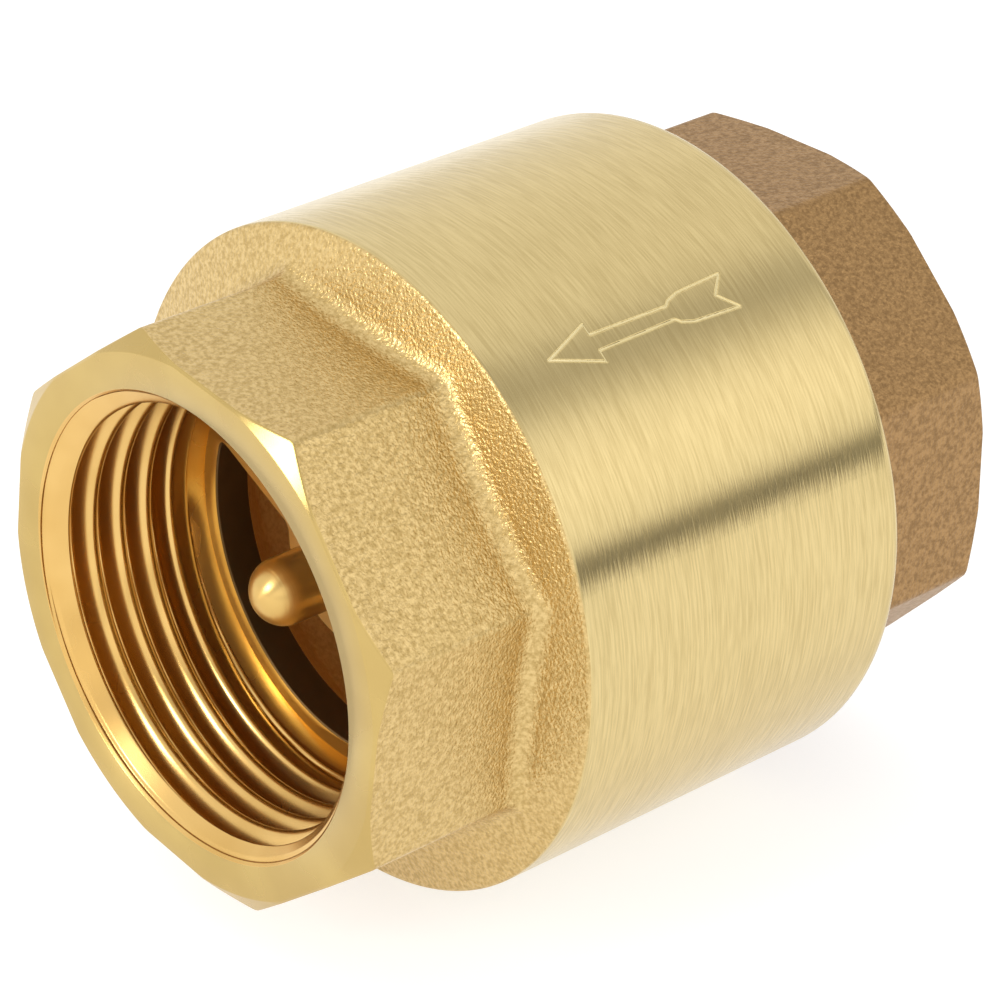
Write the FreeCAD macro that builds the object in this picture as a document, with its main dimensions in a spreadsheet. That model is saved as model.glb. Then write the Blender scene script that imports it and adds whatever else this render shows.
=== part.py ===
"""Spring-loaded in-line check valve with two female G 1 ports, shown shut.

The flow axis lies along X: fluid enters at the +X end and leaves at the -X end. The origin is on the
flow axis, halfway between the two end faces, and +Z is up. Lengths are in millimetres. A "station" is
a distance along the flow axis, measured from the outlet face towards the inlet face.
"""
import FreeCAD, Part
import Sketcher
import math
import os

from FreeCAD import Placement, Rotation, Vector

SIZES = {
    # Outside of the valve
    "OverallLength": 56.0,
    "BarrelRadius": 24.0,
    "BarrelStart": 14.15,
    "BarrelEnd": 42.8,
    "BarrelEndRound": 0.9,
    "OctagonFlats": 38.3,
    "OctagonCornerRound": 0.9,
    "OutletOctagonTurn": 8.1,
    "EndFaceRadius": 19.2,
    "EndChamferDepth": 2.0,
    "EndChamferRise": 3.0,
    "ShoulderStart": 12.75,
    "ShoulderRadius": 19.0,
    # The two G 1 ports
    "ThreadMinorRadius": 15.146,
    "CountersinkRadius": 16.7,
    "OutletPortDepth": 13.3,
    "InletPortDepth": 13.0,
    # Partition with its two-armed bridge and hub
    "PartitionThickness": 2.8,
    "WindowRadius": 13.9,
    "BridgeTurn": 27.5,
    "BridgeWidth": 4.4,
    "HubRadius": 6.0,
    "HubEnd": 18.5,
    "SpigotRadius": 4.0,
    "SpigotLength": 0.9,
    "GuideRadius": 2.45,
    # Inside of the barrel
    "ChamberRadius": 18.6,
    "ChamberStart": 20.0,
    "GasketShoulder": 35.5,
    "CapBoreRadius": 20.0,
    "RimBoreRadius": 21.0,
    "RimBoreDepth": 2.0,
    # Inlet cap
    "CapShankRadius": 19.97,
    "CapRimRadius": 20.9,
    "SeatPlane": 36.0,
    "SeatLipRadius": 13.2,
    "SeatBoreRadius": 12.0,
    "SeatBoreLength": 5.5,
    "SeatBoreFlare": 1.5,
    # Gasket between barrel and cap
    "GasketInnerRadius": 18.7,
    "GasketOuterRadius": 19.9,
    "GasketThickness": 1.0,
    # Poppet: stem, disc, seal, washer and nut
    "Lift": 5.5,
    "StemTip": 5.8,
    "StemRadius": 2.4,
    "StemTipRound": 2.3,
    "CollarRadius": 3.6,
    "TailRadius": 2.0,
    "TailEnd": 41.2,
    "TailChamfer": 0.4,
    "TailHoleRadius": 2.05,
    "DiscRadius": 14.5,
    "DiscWeb": 1.5,
    "DiscRimHeight": 1.5,
    "DiscRecessRadius": 13.8,
    "SealRadius": 13.75,
    "SealThickness": 2.5,
    "WasherRadius": 9.5,
    "WasherThickness": 1.2,
    "NutFlats": 7.0,
    "NutThickness": 3.2,
    # Spring
    "SpringMeanRadius": 4.7,
    "SpringWireRadius": 0.35,
    "SpringOpenTurns": 4.5,
    "SpringCoilGap": 0.02,
    "SpringEndGap": 0.02,
    # How far cutters and joined blanks run past the face they meet
    "Overrun": 1.0,
}

# Stations and lengths that follow from the driving dimensions
WORKED_OUT = {
    "CountersinkDepth": "CountersinkRadius - ThreadMinorRadius",
    "PartitionEnd": "OutletPortDepth + PartitionThickness",
    "CollarStart": "HubEnd + SpigotLength + Lift",
    "CapInnerEnd": "GasketShoulder + GasketThickness",
    "RimBoreStart": "BarrelEnd - RimBoreDepth",
    "SeatBoreEnd": "SeatPlane + SeatBoreLength",
    "InletLedge": "OverallLength - InletPortDepth",
    "SealBack": "SeatPlane - SealThickness",
    "DiscBack": "SealBack - DiscWeb",
    "DiscRimEnd": "SealBack + DiscRimHeight",
    "NutStart": "SeatPlane + WasherThickness",
    "NutEnd": "NutStart + NutThickness",
    "SpringStart": "HubEnd + SpringWireRadius + SpringEndGap",
    "SpringLength": "DiscBack - HubEnd - 2 * SpringWireRadius - 2 * SpringEndGap",
}

Z_TO_X = Rotation(Vector(0, 1, 0), 90)
POINTS_PER_TURN = 12   # points that shape each turn of the spring's centre line

doc = FreeCAD.newDocument("check_valve")


# ---------------------------------------------------------------- helpers
def fill_sheet():
    """Put the driving dimensions, and those worked out from them, into the spreadsheet."""
    sheet = doc.addObject("Spreadsheet::Sheet", "Sizes")
    cells = {name: str(value) for name, value in SIZES.items()}
    cells.update({name: "=" + formula for name, formula in WORKED_OUT.items()})
    for row, (name, content) in enumerate(cells.items(), start=1):
        sheet.set(f"A{row}", name)
        sheet.set(f"B{row}", content)
        sheet.setAlias(f"B{row}", name)
    doc.recompute()


def on_sheet(formula):
    """Make a formula in plain names, such as "BarrelEnd + 1", read those names from the sheet."""
    words = formula.replace("(", "( ").replace(")", " )").split()
    known = SIZES.keys() | WORKED_OUT.keys()
    return " ".join("Sizes." + word if word in known else word for word in words)


def on_sheet_value(name):
    """The number that the sheet holds under a name; "0" stands for the flow axis."""
    return 0.0 if name == "0" else float(doc.Sizes.get(name))


def bind(obj, prop, formula):
    """Drive one property of an object from the sheet."""
    obj.setExpression(prop, on_sheet(formula))


def lay_on_axis(obj, station, turn=None):
    """Lay an object made along +Z on the flow axis, starting at a station, turned about X."""
    obj.Placement = Placement(Vector(0, 0, 0), Z_TO_X)
    bind(obj, "Placement.Base.x", f"{station} - OverallLength / 2")
    if turn:
        about_x = f"rotation(vector(1; 0; 0); {on_sheet(turn)})"
        obj.setExpression("Placement.Rotation", about_x + " * rotation(vector(0; 1; 0); 90)")


def cylinder(name, radius, start, end):
    obj = doc.addObject("Part::Cylinder", name)
    bind(obj, "Radius", radius)
    bind(obj, "Height", f"{end} - ({start})")
    lay_on_axis(obj, start)
    return obj


def cone(name, first_radius, last_radius, start, end):
    obj = doc.addObject("Part::Cone", name)
    bind(obj, "Radius1", first_radius)
    bind(obj, "Radius2", last_radius)
    bind(obj, "Height", f"{end} - ({start})")
    lay_on_axis(obj, start)
    return obj


def prism(name, sides, flats, start, end, turn="0"):
    """A regular prism with an even number of sides; unturned, two of its flats face along Z."""
    obj = doc.addObject("Part::Prism", name)
    obj.Polygon = sides
    bind(obj, "Circumradius", f"{flats} / 2 / cos(180 / {sides})")
    bind(obj, "Height", f"{end} - ({start})")
    lay_on_axis(obj, start, f"{turn} + 180 / {sides}")
    return obj


def fuse(name, *shapes):
    obj = doc.addObject("Part::MultiFuse", name)
    obj.Shapes = list(shapes)
    return obj


def common(name, *shapes):
    obj = doc.addObject("Part::MultiCommon", name)
    obj.Shapes = list(shapes)
    return obj


def cut(name, base, tool):
    obj = doc.addObject("Part::Cut", name)
    obj.Base = base
    obj.Tool = tool
    return obj


def runs_along_x(edge):
    """True for a straight edge parallel to the flow axis."""
    if not isinstance(edge.Curve, Part.Line):
        return False
    first, last = edge.Vertexes[0].Point, edge.Vertexes[-1].Point
    return abs(last.x - first.x) > 0.99 * edge.Length


def rounded(name, base, radius, wanted):
    """Round those edges of an object that the function wanted picks out."""
    doc.recompute()
    picked = [number for number, edge in enumerate(base.Shape.Edges, start=1) if wanted(edge)]
    obj = doc.addObject("Part::Fillet", name)
    obj.Base = base
    obj.Edges = [(number, radius, radius) for number in picked]
    return obj


def turned_body(label, profile):
    """A lathe-turned body: a closed profile of (station, radius) corners swept round the flow axis."""
    body = doc.addObject("PartDesign::Body", label)
    bind(body, "Placement.Base.x", "0 - OverallLength / 2")
    sketch = body.newObject("Sketcher::SketchObject", f"{label}_profile")
    planes = {feature.Role: feature for feature in body.Origin.OriginFeatures}
    sketch.AttachmentSupport = [(planes["XY_Plane"], "")]
    sketch.MapMode = "FlatFace"
    rough = [Vector(on_sheet_value(station), on_sheet_value(radius), 0) for station, radius in profile]
    count = len(profile)
    for index in range(count):
        sketch.addGeometry(Part.LineSegment(rough[index], rough[(index + 1) % count]), False)
    for index in range(count):
        sketch.addConstraint(Sketcher.Constraint("Coincident", index, 2, (index + 1) % count, 1))
    for index, (station, radius) in enumerate(profile):
        along = sketch.addConstraint(Sketcher.Constraint("DistanceX", -1, 1, index, 1, rough[index].x))
        sketch.setExpression(f"Constraints[{along}]", on_sheet(station))
        if radius == "0":
            sketch.addConstraint(Sketcher.Constraint("PointOnObject", index, 1, -1))
        else:
            out = sketch.addConstraint(Sketcher.Constraint("DistanceY", -1, 1, index, 1, rough[index].y))
            sketch.setExpression(f"Constraints[{out}]", on_sheet(radius))
    turning = body.newObject("PartDesign::Revolution", f"{label}_turning")
    turning.Profile = sketch
    turning.ReferenceAxis = (sketch, ["H_Axis"])
    turning.Angle = 360
    doc.recompute()
    return body


def round_turned_edge(body, station, radius):
    """Round the outermost circular edge of a turned body at a station; both go by their sheet names."""
    tip = body.Tip
    place = on_sheet_value(station)
    circles = []
    for number, edge in enumerate(tip.Shape.Edges, start=1):
        if isinstance(edge.Curve, Part.Circle) and abs(edge.Curve.Center.x - place) < 0.001:
            circles.append((edge.Curve.Radius, number))
    rounding = body.newObject("PartDesign::Fillet", f"{body.Name}_rounding")
    rounding.Base = (tip, [f"Edge{max(circles)[1]}"])
    bind(rounding, "Radius", radius)
    doc.recompute()


# ---------------------------------------------------------------- outlet body
def octagon_end(name, start, end, face_at_start, turn="0"):
    """An octagonal port end with rounded corners and a turned chamfer at its open face."""
    blank = prism(f"{name}_blank", 8, "OctagonFlats", start, end, turn)
    sides = rounded(f"{name}_sides", blank, SIZES["OctagonCornerRound"], runs_along_x)
    wide = "EndFaceRadius + EndChamferRise"
    if face_at_start:
        nose_end = f"{start} + EndChamferDepth"
        nose = cone(f"{name}_nose", "EndFaceRadius", wide, start, nose_end)
        rest = cylinder(f"{name}_rest", wide, nose_end, end)
    else:
        nose_start = f"{end} - EndChamferDepth"
        nose = cone(f"{name}_nose", wide, "EndFaceRadius", nose_start, end)
        rest = cylinder(f"{name}_rest", wide, start, nose_start)
    return common(name, sides, fuse(f"{name}_envelope", nose, rest))


def outlet_outside():
    """Octagonal port end, sloping shoulder and round barrel."""
    octagon = octagon_end("outlet_octagon", "0", "BarrelStart", True, "OutletOctagonTurn")
    shoulder = cone("shoulder", "ShoulderRadius", "BarrelRadius", "ShoulderStart", "BarrelStart")
    blank = cylinder("barrel_blank", "BarrelRadius", "BarrelStart", "BarrelEnd")
    far_edge = SIZES["BarrelEnd"] - SIZES["OverallLength"] / 2

    def is_far_edge(edge):
        return isinstance(edge.Curve, Part.Circle) and abs(edge.Curve.Center.x - far_edge) < 0.001

    barrel = rounded("barrel", blank, SIZES["BarrelEndRound"], is_far_edge)
    return fuse("outlet_outside", octagon, shoulder, barrel)


def outlet_hollow():
    """Everything bored out of the casting along the flow axis."""
    return fuse(
        "outlet_hollow",
        cone("outlet_countersink", "CountersinkRadius", "ThreadMinorRadius", "0", "CountersinkDepth"),
        cylinder("outlet_port", "ThreadMinorRadius", "0 - Overrun", "OutletPortDepth"),
        cylinder("window_bore", "WindowRadius", "OutletPortDepth - Overrun", "PartitionEnd"),
        cone("chamber_flare", "WindowRadius", "ChamberRadius", "PartitionEnd", "ChamberStart"),
        cylinder("chamber", "ChamberRadius", "ChamberStart", "BarrelEnd"),
        cylinder("cap_bore", "CapBoreRadius", "GasketShoulder", "BarrelEnd"),
        cylinder("rim_bore", "RimBoreRadius", "RimBoreStart", "BarrelEnd + Overrun"),
    )


def outlet_bridge():
    """The hub that guides the stem, and the bar whose two ends carry it across the windows."""
    hub = cylinder("hub", "HubRadius", "OutletPortDepth", "HubEnd")
    spigot = cylinder("spigot", "SpigotRadius", "HubEnd", "HubEnd + SpigotLength")
    bar = doc.addObject("Part::Box", "bar")
    bind(bar, "Length", "PartitionThickness")
    bind(bar, "Width", "2 * ( WindowRadius + Overrun )")
    bind(bar, "Height", "BridgeWidth")
    turn = f"rotation(vector(1; 0; 0); {on_sheet('BridgeTurn')})"
    start = on_sheet("OutletPortDepth - OverallLength / 2")
    side, low = on_sheet("0 - WindowRadius - Overrun"), on_sheet("0 - BridgeWidth / 2")
    bar.setExpression("Placement", f"placement(vector(0; 0; 0); {turn}) * "
                                   f"placement(vector({start}; {side}; {low}); rotation(vector(1; 0; 0); 0))")
    return fuse("bridge", hub, spigot, bar)


def outlet_body():
    """One casting: port, shoulder, barrel, and the partition with its bridge and bored hub."""
    shell = cut("outlet_shell", outlet_outside(), outlet_hollow())
    guide = cylinder("guide_bore", "GuideRadius", "OutletPortDepth - Overrun",
                     "HubEnd + SpigotLength + Overrun")
    return fuse("outlet_body", shell, cut("bored_bridge", outlet_bridge(), guide))


# ---------------------------------------------------------------- inlet cap
def inlet_cap():
    """The octagonal inlet end, its shank screwed into the barrel and carrying the valve seat."""
    solid = fuse(
        "cap_outside",
        cylinder("seat_lip", "SeatLipRadius", "SeatPlane", "CapInnerEnd + Overrun"),
        cylinder("cap_shank", "CapShankRadius", "CapInnerEnd", "RimBoreStart + Overrun"),
        cylinder("cap_rim", "CapRimRadius", "RimBoreStart", "BarrelEnd"),
        octagon_end("cap_octagon", "BarrelEnd", "OverallLength", False),
    )
    hollow = fuse(
        "cap_hollow",
        cylinder("seat_bore", "SeatBoreRadius", "SeatPlane - Overrun", "SeatBoreEnd"),
        cone("seat_flare", "SeatBoreRadius", "SeatBoreRadius + SeatBoreFlare", "SeatBoreEnd",
             "InletLedge"),
        cylinder("inlet_port", "ThreadMinorRadius", "InletLedge", "OverallLength + Overrun"),
        cone("inlet_countersink", "ThreadMinorRadius", "CountersinkRadius",
             "OverallLength - CountersinkDepth", "OverallLength"),
    )
    return cut("inlet_cap", solid, hollow)


def body_gasket():
    """The flat ring squeezed between the barrel's inner shoulder and the cap."""
    return turned_body("body_gasket", [
        ("GasketShoulder", "GasketInnerRadius"),
        ("GasketShoulder", "GasketOuterRadius"),
        ("CapInnerEnd", "GasketOuterRadius"),
        ("CapInnerEnd", "GasketInnerRadius"),
    ])


# ---------------------------------------------------------------- poppet
def stem():
    """The turned stem: round-nosed guide, collar that stops the opening stroke, and tail."""
    body = turned_body("stem", [
        ("StemTip", "0"),
        ("StemTip", "StemRadius"),
        ("CollarStart", "StemRadius"),
        ("CollarStart", "CollarRadius"),
        ("DiscBack", "CollarRadius"),
        ("DiscBack", "TailRadius"),
        ("TailEnd", "TailRadius"),
        ("TailEnd", "0"),
    ])
    round_turned_edge(body, "StemTip", "StemTipRound")
    round_turned_edge(body, "TailEnd", "TailChamfer")
    return body


def poppet_disc():
    """The metal disc, a shallow cup that holds the soft seal against the seat side."""
    return turned_body("poppet_disc", [
        ("DiscBack", "TailHoleRadius"),
        ("DiscBack", "DiscRadius"),
        ("DiscRimEnd", "DiscRadius"),
        ("DiscRimEnd", "DiscRecessRadius"),
        ("SealBack", "DiscRecessRadius"),
        ("SealBack", "TailHoleRadius"),
    ])


def seal_disc():
    """The soft flat ring that closes on the seat lip."""
    return turned_body("seal_disc", [
        ("SealBack", "TailHoleRadius"),
        ("SealBack", "SealRadius"),
        ("SeatPlane", "SealRadius"),
        ("SeatPlane", "TailHoleRadius"),
    ])


def seal_washer():
    """The washer that spreads the nut's load over the seal."""
    return turned_body("seal_washer", [
        ("SeatPlane", "TailHoleRadius"),
        ("SeatPlane", "WasherRadius"),
        ("NutStart", "WasherRadius"),
        ("NutStart", "TailHoleRadius"),
    ])


def stem_nut():
    """The hexagon nut on the stem's tail."""
    hexagon = prism("nut_hexagon", 6, "NutFlats", "NutStart", "NutEnd")
    hole = cylinder("nut_hole", "TailHoleRadius", "NutStart - Overrun", "NutEnd + Overrun")
    return cut("stem_nut", hexagon, hole)


# ---------------------------------------------------------------- spring
def spring_line():
    """The centre line of the spring's wire: a closed coil at each end and open coils between."""
    radius, length = on_sheet_value("SpringMeanRadius"), on_sheet_value("SpringLength")
    open_turns = on_sheet_value("SpringOpenTurns")
    closed_rise = 2 * on_sheet_value("SpringWireRadius") + on_sheet_value("SpringCoilGap")
    open_rise = (length - 2 * closed_rise) / open_turns
    count = round((open_turns + 2) * POINTS_PER_TURN)
    points = []
    for index in range(count + 1):
        turns = index / POINTS_PER_TURN
        rise = closed_rise * min(turns, 1)
        rise += open_rise * min(max(turns - 1, 0), open_turns)
        rise += closed_rise * max(turns - 1 - open_turns, 0)
        angle = math.tau * turns
        points.append(Vector(radius * math.cos(angle), radius * math.sin(angle), rise))
    line = Part.BSplineCurve()
    line.interpolate(points)
    stops = list(range(0, count, POINTS_PER_TURN // 2)) + [count]
    edges = []
    for first, last in zip(stops, stops[1:]):
        piece = line.copy()
        piece.segment(line.parameter(points[first]), line.parameter(points[last]))
        edges.append(piece.toShape())
    return Part.Wire(edges), points[0], line.tangent(line.FirstParameter)[0]


def spring():
    """The closing spring: round wire wound right-handed, between the hub and the disc."""
    line, start, direction = spring_line()
    section = Part.Wire([Part.makeCircle(on_sheet_value("SpringWireRadius"), start, direction)])
    obj = doc.addObject("Part::Feature", "spring")
    obj.Shape = line.makePipeShell([section], True, True)
    lay_on_axis(obj, "SpringStart")
    return obj


# ---------------------------------------------------------------- build, check and write
fill_sheet()
NODES = [outlet_body(), inlet_cap(), body_gasket(), stem(), poppet_disc(), seal_disc(), seal_washer(),
         stem_nut(), spring()]
doc.recompute()

for obj in doc.Objects:
    if "Invalid" in obj.State or "Error" in obj.State:
        raise RuntimeError(f"{obj.Name} did not recompute: {obj.State}")

os.makedirs("parts", exist_ok=True)
for node in NODES:
    if node.Shape.isNull() or not node.Shape.isValid():
        raise RuntimeError(f"{node.Label} has no valid shape")
    if len(node.Shape.Solids) != 1:
        raise RuntimeError(f"{node.Label} is not one solid")
    node.Shape.exportStep(f"parts/{node.Label}.step")
    print(f"{node.Label:12s} {node.Shape.Volume:10.1f} mm3")
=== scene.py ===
import math

import bmesh
import bpy
import numpy as np
from mathutils import Matrix, Vector
from mathutils.geometry import tessellate_polygon


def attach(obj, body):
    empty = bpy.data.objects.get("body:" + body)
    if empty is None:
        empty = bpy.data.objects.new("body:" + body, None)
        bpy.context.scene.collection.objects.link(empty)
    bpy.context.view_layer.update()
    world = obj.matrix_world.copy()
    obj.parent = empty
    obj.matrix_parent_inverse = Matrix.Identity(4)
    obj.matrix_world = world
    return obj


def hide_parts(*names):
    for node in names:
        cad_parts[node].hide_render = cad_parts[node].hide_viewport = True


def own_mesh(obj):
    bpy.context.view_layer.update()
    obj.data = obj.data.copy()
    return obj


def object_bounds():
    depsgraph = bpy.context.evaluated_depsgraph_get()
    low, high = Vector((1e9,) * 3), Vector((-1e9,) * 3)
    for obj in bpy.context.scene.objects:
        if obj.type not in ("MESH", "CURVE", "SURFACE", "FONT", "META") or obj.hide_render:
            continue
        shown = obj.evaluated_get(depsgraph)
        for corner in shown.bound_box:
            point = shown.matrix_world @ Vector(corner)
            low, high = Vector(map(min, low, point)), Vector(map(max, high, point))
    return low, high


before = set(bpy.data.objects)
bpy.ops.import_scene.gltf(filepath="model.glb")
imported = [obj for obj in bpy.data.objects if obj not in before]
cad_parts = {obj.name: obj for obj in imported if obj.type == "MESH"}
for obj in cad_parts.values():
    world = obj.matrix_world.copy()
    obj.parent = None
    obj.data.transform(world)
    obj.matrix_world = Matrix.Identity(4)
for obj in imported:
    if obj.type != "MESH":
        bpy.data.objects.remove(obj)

# The row frame: flow axis along X, outlet at -X, inlet at +X, +Z up, origin at mid-length on the axis.
# Lengths below are in millimetres. A "station" is a distance from the outlet face towards the inlet
# face, and an angle is measured about +X from +Y towards +Z, in radians.

CAD_LOW, CAD_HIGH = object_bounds()
MM = 0.001
LENGTH = (CAD_HIGH.x - CAD_LOW.x) / MM
SHELL = "valve_body"
POPPET = "poppet"

# Outside
BARREL_R = 24.0
BARREL_START = 14.15
BARREL_END = 42.8
APOTHEM = 19.15                       # of the octagon at each end
CORNER_ROUND = 0.9
OUTLET_TURN = math.radians(8.1)
INLET_TURN = 0.0
FACE_R = 19.2
CHAMFER_SLOPE = 2.0 / 3.0
EDGE_BREAK = 0.14
SHOULDER_START = 12.75
SHOULDER_R = 19.0
SHOULDER_SLOPE = 0.28

# Roundings of edges
FACE_ROUND = 0.22
CHAMFER_ROUND = 0.28
SHOULDER_ROUND = 1.6
BARREL_FRONT_ROUND = 0.35
BARREL_REAR_ROUND = 0.9
DEBURR = 0.1

# G 1 thread, the same in both ports
PITCH = 2.309
CREST_R = 15.146
FLANK = math.tan(math.radians(27.5))
GROOVE_HALF = 0.845                   # half the groove's width at the crests
THREAD_DEPTH = 1.479
FULL_THREAD = 9.4                     # distance in from the mouth where the groove starts to fade
THREAD_GONE = 11.6
RUN_OUT = 1.65                        # how far the groove has come out of the wall by then
ROOT_BLUR = 0.06
CREST_BLUR = 0.42
CREST_EDGE = 2.12                     # station of a crest's edge at ZERO_ANGLE
ZERO_ANGLE = math.radians(68.1)
INLET_SHIFT = 0.7                     # the inlet's groove against the outlet's, along the axis
SINK_R = 16.7                         # countersink at the mouth
SINK_BLUR = 0.04
SCORE_AT = 0.36                       # a fine ring round the countersink
SCORE_HALF = 0.15
SCORE_DEPTH = 0.16
WALL_DEPTH = 11.9                     # the wall's rows end here
THREAD_STEP = 0.1                     # between rows
MOUTH_STEP = 0.04                     # between rows down to MOUTH_DEPTH
MOUTH_DEPTH = 1.6

# Inside the outlet body
PORT_DEPTH = 13.3
PARTITION_END = 16.1
PARTITION_R = 15.6
PARTITION_EDGE = 0.15
WINDOW_R = 13.9
WINDOW_FILLET = 0.8
BRIDGE_TURN = math.radians(27.5)
BRIDGE_WIDTH = 4.4
HUB_R = 6.0                           # the hub in the bridge; the boss stands behind it
GUIDE_R = 2.45
BOSS_START = 14.5
BOSS_R = 5.8
BOSS_END = 18.5
STOP_R = 4.0
STOP_HEIGHT = 0.9
THROAT_START = 14.5
THROAT_R = 14.1
PORT_FLOOR_R = 15.27
CHAMBER_START = 20.0
CHAMBER_R = 18.6
SOCKET_START = 35.5
SOCKET_R = 20.0
GASKET_START = 40.8
GASKET_R = 21.0

# Inlet cap
SEAT = 36.0
SEAT_BORE_R = 12.0
SEAT_LIP_R = 13.2
SHANK_START = 36.5
SEAT_FOOT_R = 13.7
SHANK_R = 19.97
GASKET_SEAT_R = 20.9
BORE_CHAMFER = 1.5
INLET_FLOOR = 43.0

# Spring, between the boss and the poppet disc
SPRING_R = 4.7
SPRING_END = 32.0
WIRE_R = 0.35
WIRE_GAP = 0.02
OPEN_TURNS = 4.5
COIL_STEPS = 48                       # for each turn
WIRE_SIDES = 12

# Fineness of the meshes
AROUND = 240
PLAIN_AROUND = 160
GUIDE_AROUND = 64
CORNER_COLUMNS = np.array([0.2, 0.45, 0.7, 0.9, 1.1, 1.4, 1.9])    # degrees each side of a corner
CLOSEST_COLUMNS = 0.0006              # radians
ROUND_STEPS = 6
ROUND_REACH = 0.42                    # the most of an edge that its rounding takes
SUPPORT = 0.06                        # from a rounding to the extra row beside it
SUPPORT_SHARE = 0.05


# ---------------------------------------------------------------- surfaces of revolution
def octagon_radius(angles, turn):
    """Radius of a round-cornered octagon whose flats face turn + 45 degrees x k."""
    eighth = math.pi / 4
    off_flat = (angles - turn + eighth / 2) % eighth - eighth / 2
    flat = APOTHEM / np.cos(off_flat)
    centre = (APOTHEM - CORNER_ROUND) / math.cos(eighth / 2)
    off_corner = eighth / 2 - np.abs(off_flat)
    tangent = math.atan2(CORNER_ROUND * math.sin(eighth / 2),
                         centre + CORNER_ROUND * math.cos(eighth / 2))
    inside = np.clip(CORNER_ROUND ** 2 - (centre * np.sin(off_corner)) ** 2, 0, None)
    corner = centre * np.cos(off_corner) + np.sqrt(inside)
    return np.where(off_corner < tangent, corner, flat)


def columns(turn, extra=()):
    """Angles round the axis: an even spread, with more at the octagon's corners and where asked."""
    spread = np.linspace(0, math.tau, AROUND, endpoint=False)
    cluster = np.radians(np.concatenate([-CORNER_COLUMNS[::-1], [0], CORNER_COLUMNS]))
    corners = [turn + math.pi / 8 + k * math.pi / 4 + cluster for k in range(8)]
    every = np.concatenate([spread, *corners, np.asarray(extra)]) % math.tau
    every = np.unique(np.round(every, 7))
    keep = np.ones(len(every), bool)
    last = every[0]
    for index in range(1, len(every)):
        if every[index] - last < CLOSEST_COLUMNS:
            keep[index] = False
        else:
            last = every[index]
    return every[keep]


def rounded_rows(corners, angles):
    """Rows of (station, radius) points and each row's material.

    The corners of the closed profile are (station, radius, rounding, material).
    """
    count = len(corners)
    here = [np.stack([np.broadcast_to(np.asarray(c[0], float), angles.shape),
                      np.broadcast_to(np.asarray(c[1], float), angles.shape)], axis=1) for c in corners]
    rows, kinds = [], []
    for index, (_, _, rounding, kind) in enumerate(corners):
        point = here[index]
        if rounding == 0:
            rows.append(point)
            kinds.append(kind)
            continue
        before = point - here[index - 1]
        after = here[(index + 1) % count] - point
        length_in = np.linalg.norm(before, axis=1) + 1e-9
        length_out = np.linalg.norm(after, axis=1) + 1e-9
        way_in, way_out = before / length_in[:, None], after / length_out[:, None]
        cosine = np.clip((way_in * way_out).sum(axis=1), -1, 1)
        reach = rounding * np.tan(np.arccos(cosine) / 2)
        reach = np.minimum(reach, ROUND_REACH * np.minimum(length_in, length_out))
        start, end = point - way_in * reach[:, None], point + way_out * reach[:, None]
        support = np.minimum(SUPPORT, SUPPORT_SHARE * np.minimum(length_in, length_out))[:, None]
        rows.append(start - way_in * support)
        kinds.append(corners[index - 1][3])
        for share in np.linspace(0, 1, ROUND_STEPS):
            rows.append((1 - share) ** 2 * start + 2 * share * (1 - share) * point + share ** 2 * end)
            kinds.append(corners[index - 1][3] if share < 0.5 else kind)
        rows.append(end + way_out * support)
        kinds.append(kind)
    return rows, kinds


def place(station, radius, angles):
    """Points in metres in the row frame."""
    x = station - LENGTH / 2
    return np.stack([x, radius * np.cos(angles), radius * np.sin(angles)], axis=-1) * MM


def mesh_object(name, points, faces, body, materials, kinds=None):
    """A smooth-shaded mesh object that rides on a body."""
    mesh = bpy.data.meshes.new(name)
    mesh.from_pydata(points.tolist(), [], faces)
    obj = bpy.data.objects.new(name, mesh)
    bpy.context.scene.collection.objects.link(obj)
    for finish in materials:
        mesh.materials.append(finish)
    if kinds is not None:
        mesh.polygons.foreach_set("material_index", np.asarray(kinds, np.int32))
    mesh.polygons.foreach_set("use_smooth", np.ones(len(mesh.polygons), bool))
    mesh.update()
    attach(obj, body)
    return obj


def turned(name, corners, angles, body):
    """A closed ring-shaped solid: the rows of a closed profile, joined all the way round."""
    rows, kinds = rounded_rows(corners, angles)
    points = np.concatenate([place(row[:, 0], row[:, 1], angles) for row in rows])
    across, down = len(angles), len(rows)
    row, column = np.meshgrid(np.arange(down), np.arange(across), indexing="ij")
    next_row, next_column = (row + 1) % down, (column + 1) % across
    faces = np.stack([row * across + column, row * across + next_column,
                      next_row * across + next_column, next_row * across + column], axis=-1).reshape(-1, 4)
    names = list(dict.fromkeys(kinds))
    index = np.repeat([names.index(kind) for kind in kinds], across)
    metals = [material(metal) for metal in names]
    obj = mesh_object(name, points, faces.tolist(), body, metals, index)
    if enclosed_volume(points, faces) < 0:
        obj.data.flip_normals()
    return obj


def enclosed_volume(points, faces):
    """The volume inside a closed mesh of quads, negative where they face inwards."""
    a, b, c, d = (points[faces[:, k]] for k in range(4))
    return (np.einsum("ij,ij->i", a, np.cross(b, c)) + np.einsum("ij,ij->i", a, np.cross(c, d))).sum() / 6


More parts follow.
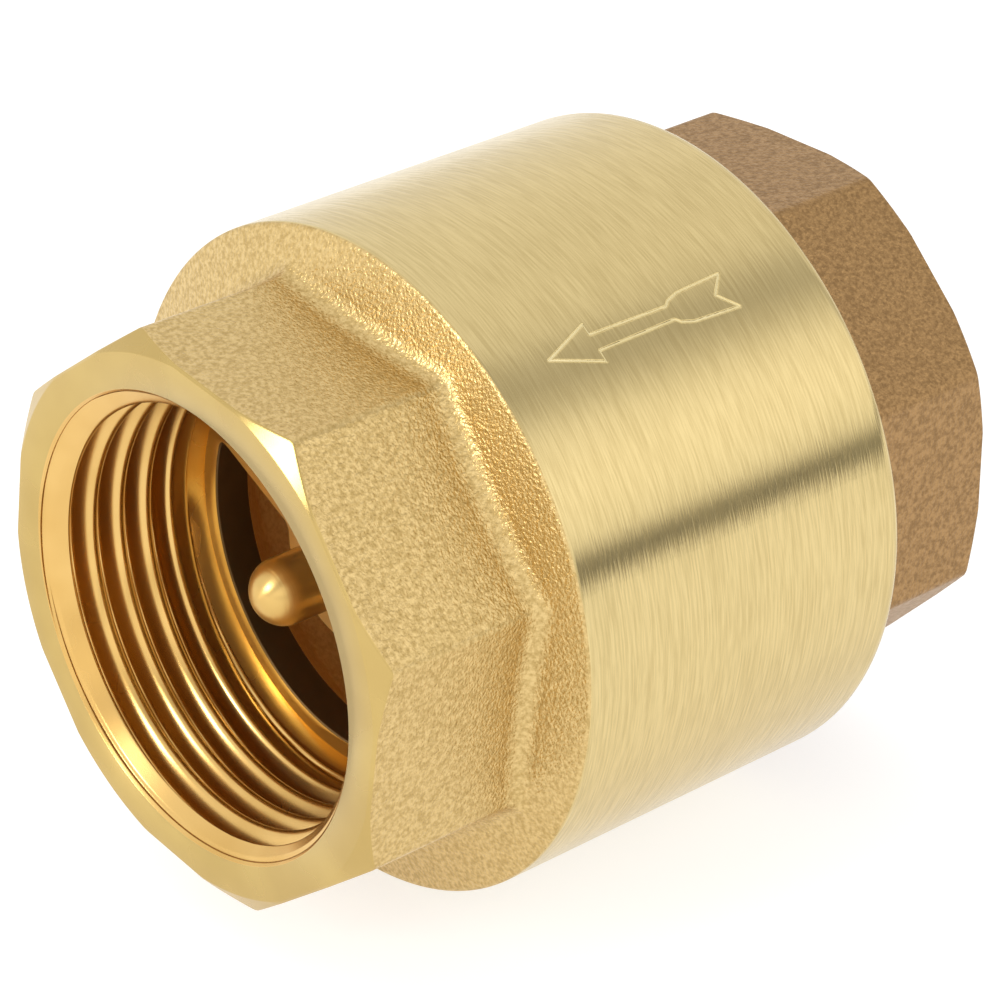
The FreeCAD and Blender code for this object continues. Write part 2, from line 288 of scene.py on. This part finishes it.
# ---------------------------------------------------------------- G 1 thread
def thread_radius(station, angles, depth_in, shift):
    """Radius of the threaded wall. depth_in is the distance in from the mouth."""
    phase = (station - CREST_EDGE - shift) / PITCH - (angles - ZERO_ANGLE) / math.tau
    off_centre = np.abs((phase % 1.0) * PITCH - GROOVE_HALF)
    off_centre = np.minimum(off_centre, np.abs((phase % 1.0) * PITCH - GROOVE_HALF - PITCH))
    run_out = np.clip((depth_in - FULL_THREAD) / (THREAD_GONE - FULL_THREAD), 0, 1) * RUN_OUT
    vee = (GROOVE_HALF - off_centre) / FLANK - run_out
    rooted = THREAD_DEPTH - soft_max(THREAD_DEPTH - vee, 0.0, ROOT_BLUR)
    cut = soft_max(rooted, 0.0, CREST_BLUR)
    score = SCORE_DEPTH * np.clip(1 - abs(depth_in - SCORE_AT) / SCORE_HALF, 0, 1)
    sink = SINK_R - depth_in + score
    return soft_max(CREST_R + cut, sink, SINK_BLUR)


def soft_max(one, other, blur):
    """The larger of two, with the crease between them rounded off."""
    return 0.5 * (one + other + np.sqrt((one - other) ** 2 + blur ** 2))


# ---------------------------------------------------------------- materials
def new_material(name):
    """A material with only an output and a Principled shader, and its tree and shader."""
    found = bpy.data.materials.new(name)
    found.use_nodes = True
    tree = found.node_tree
    tree.nodes.clear()
    out = tree.nodes.new("ShaderNodeOutputMaterial")
    shader = tree.nodes.new("ShaderNodeBsdfPrincipled")
    tree.links.new(shader.outputs[0], out.inputs[0])
    return found, tree, shader


def link(tree, source, target):
    tree.links.new(source, target)


def object_coords(tree, scale=(1, 1, 1)):
    coords = tree.nodes.new("ShaderNodeTexCoord")
    mapping = tree.nodes.new("ShaderNodeMapping")
    mapping.inputs["Scale"].default_value = scale
    link(tree, coords.outputs["Object"], mapping.inputs["Vector"])
    return mapping.outputs["Vector"]


def noise(tree, vector, scale, detail=4.0, rough=0.55):
    node = tree.nodes.new("ShaderNodeTexNoise")
    node.inputs["Scale"].default_value = scale
    node.inputs["Detail"].default_value = detail
    node.inputs["Roughness"].default_value = rough
    link(tree, vector, node.inputs["Vector"])
    return node.outputs["Fac"]


def ramp(tree, source, stops):
    node = tree.nodes.new("ShaderNodeValToRGB")
    elements = node.color_ramp.elements
    while len(elements) < len(stops):
        elements.new(0.5)
    for element, (place_at, colour) in zip(elements, stops):
        element.position = place_at
        element.color = (*colour, 1)
    link(tree, source, node.inputs["Fac"])
    return node.outputs["Color"]


def remap(tree, source, low, high, to_low, to_high):
    node = tree.nodes.new("ShaderNodeMapRange")
    for socket, value in zip(("From Min", "From Max", "To Min", "To Max"), (low, high, to_low, to_high)):
        node.inputs[socket].default_value = value
    link(tree, source, node.inputs["Value"])
    return node.outputs["Result"]


def bump(tree, shader, heights):
    """Chain of bumps from (height output, distance in mm, strength)."""
    normal = None
    for height, distance, strength in heights:
        node = tree.nodes.new("ShaderNodeBump")
        node.inputs["Strength"].default_value = strength
        node.inputs["Distance"].default_value = distance * MM
        link(tree, height, node.inputs["Height"])
        if normal is not None:
            link(tree, normal, node.inputs["Normal"])
        normal = node.outputs["Normal"]
    link(tree, normal, shader.inputs["Normal"])


CAST_TONE = 3000                      # scales of the noise patterns, for coordinates in metres
TURNED_TONE = 120
STROKE_SCALE = 7000
STROKE_STRETCH = (1, 0.045, 0.045)    # long strokes round the axis
BRUSHED = 0.02                        # strokes deeper than this show in the colour too
BRUSHED_SHARE = 0.85
GRAIN_SCALE = 4300
GRAIN_STRETCH = (1.25, 1, 1)
SATIN_SCALE = 900
SATIN_HEIGHT = 0.003
SATIN_STRENGTH = 0.4
TONE_STOPS = (0.36, 0.62)             # noise levels of the dark and the pale colour
ROUGH_LEVELS = (0.35, 0.65)           # noise levels of the roughest and the smoothest
EVEN_LEVELS = (0.3, 0.7)
ANISOTROPY = 0.7
ANISOTROPY_TURN = 0.25
DARKER = 0.8
ROUGH_SPREAD = 0.06

BRASS = {  # colours, roughness from pale to dark, bump heights in mm, share of metal
    "cast": dict(dark=(0.52, 0.36, 0.135), pale=(0.71, 0.515, 0.225), rough=(0.30, 0.42), grain=0.075),
    # far_cast_painted_shade: the same sand-cast brass as cast, painted about half as bright as painted
    # shade on the inlet end's octagon
    "far_cast_painted_shade": dict(dark=(0.29, 0.17, 0.07), pale=(0.42, 0.25, 0.105), rough=(0.38, 0.50), grain=0.06),
    "face": dict(dark=(0.54, 0.38, 0.135), pale=(0.60, 0.43, 0.155), rough=(0.24, 0.30), rings=0.004),
    "hub": dict(dark=(0.78, 0.58, 0.26), pale=(0.85, 0.65, 0.31), rough=(0.30, 0.36)),
    "barrel": dict(dark=(0.585, 0.45, 0.20), pale=(0.70, 0.55, 0.26), rough=(0.17, 0.23), rings=0.022),
    "mark": dict(dark=(0.80, 0.68, 0.37), pale=(0.87, 0.75, 0.44), rough=(0.45, 0.55)),
    "thread": dict(dark=(0.68, 0.42, 0.13), pale=(0.76, 0.49, 0.17), rough=(0.22, 0.28)),
    "bore": dict(dark=(0.85, 0.54, 0.16), pale=(0.90, 0.59, 0.19), rough=(0.24, 0.30), rings=0.003),
    # window: brass painted near black, as painted shade for the shadowed walls behind the partition
    "window": dict(dark=(0.14, 0.08, 0.03), pale=(0.20, 0.12, 0.05), rough=(0.50, 0.60)),
    "chamber": dict(dark=(0.78, 0.42, 0.11), pale=(0.92, 0.54, 0.17), rough=(0.48, 0.56), grain=0.02,
                    metal=0.2),
    "turned": dict(dark=(0.76, 0.52, 0.20), pale=(0.84, 0.60, 0.26), rough=(0.28, 0.36), rings=0.003),
    "stem": dict(dark=(0.64, 0.40, 0.12), pale=(0.73, 0.49, 0.17), rough=(0.28, 0.36), rings=0.01),
}
brass_made = {}


def material(name):
    """The brass of this name, made when it is first asked for."""
    if name not in brass_made:
        brass_made[name] = brass(name, **BRASS[name])
    return brass_made[name]


def brass(name, dark, pale, rough, grain=0.0, rings=0.0, metal=1.0):
    """Brass: sand-cast where grain is set, turned or brushed round the axis where rings is set."""
    found, tree, shader = new_material("brass_" + name)
    here = object_coords(tree)
    tone = noise(tree, here, CAST_TONE if grain else TURNED_TONE, 2.5, 0.6)
    strokes = noise(tree, object_coords(tree, STROKE_STRETCH), STROKE_SCALE, 2.0, 0.6)
    if rings > BRUSHED:
        tone = average(tree, tone, strokes, BRUSHED_SHARE)
    link(tree, ramp(tree, tone, list(zip(TONE_STOPS, (dark, pale)))), shader.inputs["Base Color"])
    shader.inputs["Metallic"].default_value = metal
    smooth, coarse = rough
    link(tree, remap(tree, tone, *ROUGH_LEVELS, coarse, smooth), shader.inputs["Roughness"])
    heights = []
    if grain:
        pits = noise(tree, object_coords(tree, GRAIN_STRETCH), GRAIN_SCALE, 1.2, 0.5)
        heights.append((pits, grain, 1.0))
    if rings:
        heights.append((strokes, rings, 1.0))
        shader.inputs["Anisotropic"].default_value = ANISOTROPY
        shader.inputs["Anisotropic Rotation"].default_value = ANISOTROPY_TURN
        tangent = tree.nodes.new("ShaderNodeTangent")
        tangent.direction_type, tangent.axis = "RADIAL", "X"
        link(tree, tangent.outputs[0], shader.inputs["Tangent"])
    if not heights:
        heights.append((noise(tree, here, SATIN_SCALE, 3.0), SATIN_HEIGHT, SATIN_STRENGTH))
    bump(tree, shader, heights)
    return found


def average(tree, one, other, share):
    """A mix of two grey patterns, with this share of the second one."""
    node = tree.nodes.new("ShaderNodeMix")
    node.inputs["Factor"].default_value = share
    link(tree, one, node.inputs["A"])
    link(tree, other, node.inputs["B"])
    return node.outputs["Result"]


def plain_material(name, colour, rough, metallic, grain_scale, grain):
    """An even finish with a fine grain: the spring's steel and the rubber."""
    found, tree, shader = new_material(name)
    here = object_coords(tree)
    pattern = noise(tree, here, grain_scale, 4.0)
    darker = tuple(DARKER * channel for channel in colour)
    link(tree, ramp(tree, pattern, list(zip(EVEN_LEVELS, (darker, colour)))), shader.inputs["Base Color"])
    shader.inputs["Metallic"].default_value = metallic
    roughness = remap(tree, pattern, *EVEN_LEVELS, rough - ROUGH_SPREAD, rough + ROUGH_SPREAD)
    link(tree, roughness, shader.inputs["Roughness"])
    bump(tree, shader, [(pattern, grain, 0.5)])
    return found


# ---------------------------------------------------------------- the arrow sunk in the barrel
ARROW_ANGLE = math.radians(127.25)
ARROW_DEPTH = 0.08
ARROW_LINE_HALF = 0.12
ARROW_LINE_CURVE = 0.8                # 1 would make the groove a plain vee
ARROW_HALF = [  # station, distance to one side of the arrow's middle line
    (18.9, 0.0), (22.9, 1.49), (22.9, 0.63), (29.6, 0.53), (30.0, 0.86), (31.0, 1.16), (35.0, 1.36),
    (33.7, 0.0),
]
ARROW_START = 18.7                    # the stretch of the barrel with close rows and columns
ARROW_END = 35.4
ARROW_ROW = 0.05
ARROW_SIDE = 1.7
ARROW_COLUMN = 0.034
ARROW_SPREAD = 0.08                   # radians each side, past the arrow's edges
MARK_FROM = 0.45                      # shares of the groove's depth between which it is brighter
MARK_TO = 1.5


def polygon_distance(station, side, outline):
    """Signed distance to a closed outline, negative inside."""
    distance = np.full(station.shape, np.inf)
    inside = np.zeros(station.shape, bool)
    for (x1, y1), (x2, y2) in zip(outline, outline[1:] + outline[:1]):
        dx, dy = x2 - x1, y2 - y1
        along = np.clip(((station - x1) * dx + (side - y1) * dy) / (dx * dx + dy * dy), 0, 1)
        distance = np.minimum(distance, np.hypot(station - x1 - along * dx, side - y1 - along * dy))
        if y1 != y2:
            crosses = (y1 > side) != (y2 > side)
            inside ^= crosses & (station < (x2 - x1) * (side - y1) / (y2 - y1) + x1)
    return np.where(inside, -distance, distance)


def arrow_outline():
    """The arrow's outline: the given half and its mirror image."""
    mirrored = [(station, -half) for station, half in reversed(ARROW_HALF[1:-1])]
    return ARROW_HALF + mirrored


def barrel_radius(station, angles):
    """The barrel's radius, with a shallow groove along the arrow's outline."""
    side = ((angles - ARROW_ANGLE + math.pi) % math.tau - math.pi) * BARREL_R
    away = np.abs(polygon_distance(np.full(angles.shape, station), side, arrow_outline()))
    return BARREL_R - ARROW_DEPTH * np.clip(1 - away / ARROW_LINE_HALF, 0, 1) ** ARROW_LINE_CURVE


# ---------------------------------------------------------------- outlet casting
def port_wall(angles, station_of, shift):
    """Rows of the threaded wall from the mouth inwards, as corners with no rounding."""
    corners = []
    depths = np.concatenate([np.arange(0, MOUTH_DEPTH, MOUTH_STEP),
                             np.arange(MOUTH_DEPTH, WALL_DEPTH, THREAD_STEP)])
    for depth in depths:
        radius = thread_radius(station_of(depth), angles, depth, shift)
        corners.append((station_of(depth), radius, 0, "thread"))
    corners[0] = (station_of(0.0), np.full(angles.shape, SINK_R), 0, "face")
    return corners


def octagon_end(angles, turn):
    """The octagon's radius, its chamfer's depth and the end face's radius."""
    octagon = octagon_radius(angles, turn)
    chamfer = np.maximum((octagon - FACE_R) * CHAMFER_SLOPE, EDGE_BREAK)
    face = np.minimum(FACE_R, octagon - EDGE_BREAK / CHAMFER_SLOPE)
    return octagon, chamfer, face


def outlet_casting():
    across = np.arange(-ARROW_SIDE, ARROW_SIDE + ARROW_COLUMN / 2, ARROW_COLUMN)
    angles = columns(OUTLET_TURN, ARROW_ANGLE + across / BARREL_R)
    octagon, chamfer, face = octagon_end(angles, OUTLET_TURN)
    corners = [  # station, radius, rounding, material
        (0, face, FACE_ROUND, "face"),
        (chamfer, octagon, CHAMFER_ROUND, "cast"),
        (SHOULDER_START + (octagon - SHOULDER_R) * SHOULDER_SLOPE, octagon, SHOULDER_ROUND, "cast"),
        (BARREL_START, BARREL_R, BARREL_FRONT_ROUND, "barrel"),
    ]
    for station in np.arange(ARROW_START, ARROW_END, ARROW_ROW):
        corners.append((station, barrel_radius(station, angles), 0, "barrel"))
    corners += [
        (BARREL_END, BARREL_R, BARREL_REAR_ROUND, "face"),
        (BARREL_END, GASKET_R, 0.15, "bore"),
        (GASKET_START, GASKET_R, DEBURR, "bore"),
        (GASKET_START, SOCKET_R, DEBURR, "bore"),
        (SOCKET_START, SOCKET_R, DEBURR, "bore"),
        (SOCKET_START, CHAMBER_R, 0.3, "chamber"),
        (CHAMBER_START, CHAMBER_R, 1.5, "chamber"),
        # The throat wall behind the partition takes the near-black window brass, which is painted shade
        (PARTITION_END - DEBURR, THROAT_R, DEBURR, "window"),
        (THROAT_START, THROAT_R, DEBURR, "bore"),
        (THROAT_START, PORT_FLOOR_R, DEBURR, "bore"),
    ]
    corners += port_wall(angles, lambda depth: depth, 0.0)[::-1]
    casting = turned("outlet_casting", corners, angles, SHELL)
    show_mark(casting)
    return casting


def show_mark(obj):
    """Give the sunk arrow line a brighter metal than the brushed barrel round it."""
    obj.data.materials.append(material("mark"))
    mark = len(obj.data.materials) - 1
    centres = np.empty(len(obj.data.polygons) * 3)
    obj.data.polygons.foreach_get("center", centres)
    x, y, z = centres.reshape(-1, 3).T / MM
    station, radius, angle = x + LENGTH / 2, np.hypot(y, z), np.arctan2(z, y)
    beside = (station > ARROW_START) & (station < ARROW_END) & (np.abs(angle - ARROW_ANGLE) < ARROW_SPREAD)
    sunk = (BARREL_R - radius > MARK_FROM * ARROW_DEPTH) & (BARREL_R - radius < MARK_TO * ARROW_DEPTH)
    for index in np.nonzero(beside & sunk)[0]:
        obj.data.polygons[int(index)].material_index = mark


def inlet_casting():
    angles = columns(INLET_TURN)
    octagon, chamfer, face = octagon_end(angles, INLET_TURN)
    corners = [  # station, radius, rounding, material
        (SEAT, SEAT_BORE_R, 0.12, "turned"),
        (SEAT, SEAT_LIP_R, 0.12, "turned"),
        (SHANK_START, SEAT_FOOT_R, 0.2, "turned"),
        (SHANK_START, SHANK_R, 0.2, "turned"),
        (GASKET_START, SHANK_R, DEBURR, "turned"),
        (GASKET_START, GASKET_SEAT_R, DEBURR, "turned"),
        (BARREL_END, GASKET_SEAT_R, 0.12, "face"),
        # The inlet octagon takes the darker copy of the cast brass, which is painted shade
        (BARREL_END, octagon, 0.5, "far_cast_painted_shade"),
        (LENGTH - chamfer, octagon, 0.35, "far_cast_painted_shade"),
        (LENGTH, face, FACE_ROUND, "face"),
    ]
    corners += port_wall(angles, lambda depth: LENGTH - depth, INLET_SHIFT)
    corners += [
        (INLET_FLOOR, CREST_R + DEBURR, 0.15, "bore"),
        (INLET_FLOOR, SEAT_BORE_R + BORE_CHAMFER, 0.15, "bore"),
        (INLET_FLOOR - BORE_CHAMFER, SEAT_BORE_R, 0.3, "bore"),
    ]
    return turned("inlet_casting", corners, angles, SHELL)


def ring_columns(count=PLAIN_AROUND):
    return np.linspace(0, math.tau, count, endpoint=False)


# ---------------------------------------------------------------- partition, bridge and hub
FILLET_STEPS = 8
FAR_ARC_STEPS = 70
NEAR_ARC_STEPS = 40
EDGE_LEVELS = 5


def eased(start, corner, end):
    """Points that round a corner off from start to end."""
    return [(1 - share) ** 2 * start + 2 * share * (1 - share) * corner + share ** 2 * end
            for share in np.linspace(0, 1, FILLET_STEPS)]


def polar(radius, angle):
    return np.array([radius * math.cos(angle), radius * math.sin(angle)])


def window_outline(turn, grow):
    """A D-shaped window between the bar, the hub and the wall, made larger all round by grow."""
    side = BRIDGE_WIDTH / 2 - grow
    outer, inner = WINDOW_R + grow, HUB_R - grow
    at_outer, at_inner = math.asin(side / outer), math.asin(side / inner)
    wide, narrow = outer * math.cos(at_outer), inner * math.cos(at_inner)
    off_outer, off_inner = WINDOW_FILLET / outer, WINDOW_FILLET / inner
    far_start, near_start = at_outer + off_outer, at_inner + off_inner
    far_arc = [polar(outer, angle)
               for angle in np.linspace(far_start, math.pi - far_start, FAR_ARC_STEPS)]
    near_arc = [polar(inner, angle)
                for angle in np.linspace(math.pi - near_start, near_start, NEAR_ARC_STEPS)]
    along = np.array([WINDOW_FILLET, 0.0])
    left_far, right_far = np.array([-wide, side]), np.array([wide, side])
    left_near, right_near = np.array([-narrow, side]), np.array([narrow, side])
    outline = far_arc[1:-1] + eased(far_arc[-1], left_far, left_far + along)
    outline += eased(left_near - along, left_near, near_arc[0]) + near_arc[1:-1]
    outline += eased(near_arc[-1], right_near, right_near + along)
    outline += eased(right_far - along, right_far, far_arc[0])
    spin = np.array([[math.cos(turn), -math.sin(turn)], [math.sin(turn), math.cos(turn)]])
    return np.array([spin @ point for point in outline])


def circle(radius, count):
    return np.array([polar(radius, angle) for angle in ring_columns(count)])


def partition():
    """The plate across the port, with its bridge, its hub, the stem's guide and two windows."""
    rim = [lambda grow: circle(PARTITION_R, PLAIN_AROUND),
           lambda grow: circle(GUIDE_R + grow, GUIDE_AROUND),
           lambda grow: window_outline(BRIDGE_TURN, grow),
           lambda grow: window_outline(BRIDGE_TURN + math.pi, grow)]
    levels = [(PARTITION_EDGE * (1 - math.cos(lean)), PARTITION_EDGE * (1 - math.sin(lean)))
              for lean in np.linspace(0, math.pi / 2, EDGE_LEVELS)]
    front = [(PORT_DEPTH + depth, grow) for depth, grow in levels]
    rear = [(PARTITION_END - depth, grow) for depth, grow in reversed(levels)]
    points, faces, kinds = [], [], []
    loops = {}
    for which, outline_of in enumerate(rim):
        for level, (station, grow) in enumerate(front + rear):
            outline = outline_of(grow)
            loops[which, level] = range(len(points), len(points) + len(outline))
            points += [((station - LENGTH / 2) * MM, y * MM, z * MM) for y, z in outline]
    deepest = len(front) + len(rear) - 1
    for which in range(len(rim)):
        for level in range(deepest):
            here, there = loops[which, level], loops[which, level + 1]
            for index in range(len(here)):
                other = (index + 1) % len(here)
                faces.append((here[index], here[other], there[other], there[index]))
                kinds.append(1 if which else 0)
    for level in (0, deepest):
        order = [index for which in range(len(rim)) for index in loops[which, level]]
        outlines = [[Vector((points[index][1], points[index][2], 0)) for index in loops[which, level]]
                    for which in range(len(rim))]
        for triangle in tessellate_polygon(outlines):
            faces.append(tuple(order[corner] for corner in triangle))
            kinds.append(0)
    # Faces of kind 1 (the window walls and the stem's guide bore) take the near-black window brass, which
    # is painted shade
    obj = mesh_object("partition", np.array(points), faces, SHELL,
                      [material("hub"), material("window")], kinds)
    outward_normals(obj)
    return obj


def outward_normals(obj):
    shell = bmesh.new()
    shell.from_mesh(obj.data)
    bmesh.ops.recalc_face_normals(shell, faces=shell.faces)
    shell.to_mesh(obj.data)
    shell.free()


def hub():
    corners = [  # station, radius, rounding, material
        (BOSS_START, GUIDE_R, DEBURR, "bore"),
        (BOSS_START, BOSS_R, DEBURR, "bore"),
        (BOSS_END, BOSS_R, 0.3, "turned"),
        (BOSS_END, STOP_R, 0.2, "turned"),
        (BOSS_END + STOP_HEIGHT, STOP_R, 0.15, "turned"),
        (BOSS_END + STOP_HEIGHT, GUIDE_R, DEBURR, "turned"),
    ]
    return turned("hub_boss", corners, ring_columns(), SHELL)


# ---------------------------------------------------------------- spring
def coil(name, turns, start_rise, end_rise, start_turn, body):
    """A length of round wire wound right-handed round the axis; rises are stations."""
    steps, sides = int(turns * COIL_STEPS), WIRE_SIDES
    share = np.linspace(0, 1, steps + 1)
    angle = (start_turn + turns * share) * math.tau
    rise = start_rise + (end_rise - start_rise) * share
    radial = np.stack([np.zeros_like(angle), np.cos(angle), np.sin(angle)], axis=1)
    along = np.array([1.0, 0.0, 0.0])
    centre = radial * SPRING_R + np.stack([rise - LENGTH / 2, 0 * rise, 0 * rise], axis=1)
    section = np.linspace(0, math.tau, sides, endpoint=False)
    offset = np.cos(section)[None, :, None] * radial[:, None, :] + np.sin(section)[None, :, None] * along
    points = (centre[:, None, :] + WIRE_R * offset).reshape(-1, 3) * MM
    faces = []
    for step in range(steps):
        for side in range(sides):
            other = (side + 1) % sides
            faces.append((step * sides + side, (step + 1) * sides + side,
                          (step + 1) * sides + other, step * sides + other))
    faces.append(tuple(range(sides)))
    faces.append(tuple(reversed([steps * sides + side for side in range(sides)])))
    return mesh_object(name, points, faces, body, [STEEL])


STEEL = plain_material("spring_wire", (0.62, 0.60, 0.56), 0.25, 1.0, 1500, 0.004)
RUBBER = plain_material("seal_rubber", (0.035, 0.034, 0.034), 0.62, 0.0, 900, 0.02)

casting = outlet_casting()
partition()
hub()
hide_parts("outlet_body")
cap = inlet_casting()
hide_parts("inlet_cap")

closed_rise = 2 * WIRE_R + WIRE_GAP
first = BOSS_END + WIRE_GAP + WIRE_R
last = SPRING_END - WIRE_GAP - WIRE_R
open_start, open_end = first + closed_rise, last - closed_rise
coil("spring_hub_end", 1.0, first, open_start, 0.0, SHELL)
open_coils = coil("spring_open_coils", OPEN_TURNS, open_start, open_end, 0.0, SHELL)
coil("spring_disc_end", 1.0, open_end, last, 0.5, POPPET)
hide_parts("spring")
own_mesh(open_coils)

carried_over = {
    "stem": material("stem"), "poppet_disc": material("turned"), "seal_washer": material("turned"),
    "stem_nut": material("turned"), "seal_disc": RUBBER, "body_gasket": RUBBER,
}
for node, finish in carried_over.items():
    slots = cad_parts[node].data.materials
    slots.clear()
    slots.append(finish)

# ---------------------------------------------------------------- floor, light and camera
FLOOR_HALF = 3.0                      # metres
FLOOR_GREY = 0.50
FLOOR_GLOW = 0.66
LIGHT_PLACE = Vector((-0.546, 0.094, 0.230))
LIGHT_SIZE = 0.16
LIGHT_POWER = 1.0
CAMERA_PLACE = Vector((-175.8, -199.6, 142.4))
CAMERA_RIGHT = Vector((0.7514, -0.6599, 0))
CAMERA_UP = Vector((0.3118, 0.3550, 0.8814))
CAMERA_BACK = Vector((-0.5816, -0.6622, 0.4724))
SENSOR = 36.0
LENS = 155.3646


def pale_floor():
    mesh = bpy.data.meshes.new("floor")
    corners = [(-1, -1), (1, -1), (1, 1), (-1, 1)]
    mesh.from_pydata([(x * FLOOR_HALF, y * FLOOR_HALF, CAD_LOW.z) for x, y in corners], [],
                     [(0, 1, 2, 3)])
    obj = bpy.data.objects.new("floor", mesh)
    bpy.context.scene.collection.objects.link(obj)
    found, _, shader = new_material("floor_white")
    shader.inputs["Base Color"].default_value = (FLOOR_GREY, FLOOR_GREY, FLOOR_GREY, 1)
    shader.inputs["Roughness"].default_value = 0.9
    shader.inputs["Emission Color"].default_value = (1, 1, 1, 1)
    shader.inputs["Emission Strength"].default_value = FLOOR_GLOW
    mesh.materials.append(found)
    return obj


floor = pale_floor()

SKY = [  # (angle about the X axis from +Y towards +Z, in degrees, brightness)
    (0, 1.04), (45, 1.06), (60, 1.02), (88, 1.04), (100, 0.94), (107, 0.68), (116, 0.62), (124, 0.88),
    (133, 1.22), (144, 1.38), (156, 1.38), (166, 1.26), (170, 1.05),
]
SKY_STRIP = [(173, 0.18), (183, 0.18)]
SKY_END = (185, 0.95)
SKY_TOP = 1.38
SKY_FROM = -math.pi / 2
SKY_TO = 3 * math.pi / 2
STRIP_GONE = 0.20                     # X part of the direction at which the strip fades in
STRIP_FULL = 0.34


def sky_stops(levels):
    """Ramp stops from angles and brightnesses: -90 degrees is at 0 and 270 degrees at 1."""
    return [((angle + 90) / 360, (level / SKY_TOP,) * 3) for angle, level in levels]


def studio_world():
    """Long soft bands of light along X, dimmer overhead, with a dark low strip at -Y past the inlet."""
    world = bpy.data.worlds.new("studio")
    bpy.context.scene.world = world
    world.use_nodes = True
    tree = world.node_tree
    coords = tree.nodes.new("ShaderNodeTexCoord")
    split = tree.nodes.new("ShaderNodeSeparateXYZ")
    link(tree, coords.outputs["Generated"], split.inputs[0])
    turn = tree.nodes.new("ShaderNodeMath")
    turn.operation = "ARCTAN2"
    link(tree, split.outputs["Z"], turn.inputs[0])
    link(tree, split.outputs["Y"], turn.inputs[1])
    wrapped = tree.nodes.new("ShaderNodeMath")
    wrapped.operation = "WRAP"
    link(tree, turn.outputs[0], wrapped.inputs[0])
    wrapped.inputs[1].default_value = SKY_TO
    wrapped.inputs[2].default_value = SKY_FROM
    share = remap(tree, wrapped.outputs[0], SKY_FROM, SKY_TO, 0, 1)
    plain = ramp(tree, share, sky_stops(SKY + [SKY_END]))
    with_strip = ramp(tree, share, sky_stops(SKY + SKY_STRIP + [SKY_END]))
    mix = tree.nodes.new("ShaderNodeMix")
    mix.data_type = "RGBA"
    factor, first_colour, second_colour = (mix.inputs[index] for index in (0, 6, 7))
    link(tree, remap(tree, split.outputs["X"], STRIP_GONE, STRIP_FULL, 0, 1), factor)
    link(tree, plain, first_colour)
    link(tree, with_strip, second_colour)
    link(tree, mix.outputs[2], tree.nodes["Background"].inputs["Color"])
    tree.nodes["Background"].inputs["Strength"].default_value = SKY_TOP


def side_light():
    """A small soft light on the outlet side, aimed at the origin."""
    data = bpy.data.lights.new("side", "AREA")
    data.energy = LIGHT_POWER
    data.shape = "RECTANGLE"
    data.size = data.size_y = LIGHT_SIZE
    light = bpy.data.objects.new("side", data)
    light.location = LIGHT_PLACE
    light.rotation_euler = (-LIGHT_PLACE).to_track_quat("-Z", "Y").to_euler()
    bpy.context.scene.collection.objects.link(light)


def scene_camera():
    data = bpy.data.cameras.new("camera")
    data.sensor_width = SENSOR
    data.lens = LENS
    data.clip_start, data.clip_end = 0.01, 10
    camera = bpy.data.objects.new("camera", data)
    facing = Matrix((CAMERA_RIGHT, CAMERA_UP, CAMERA_BACK)).transposed().to_4x4()
    camera.matrix_world = Matrix.Translation(CAMERA_PLACE * MM) @ facing
    bpy.context.scene.collection.objects.link(camera)
    bpy.context.scene.camera = camera


studio_world()
side_light()
scene_camera()

view_settings = bpy.context.scene.view_settings
view_settings.view_transform = "Standard"
view_settings.look = "None"
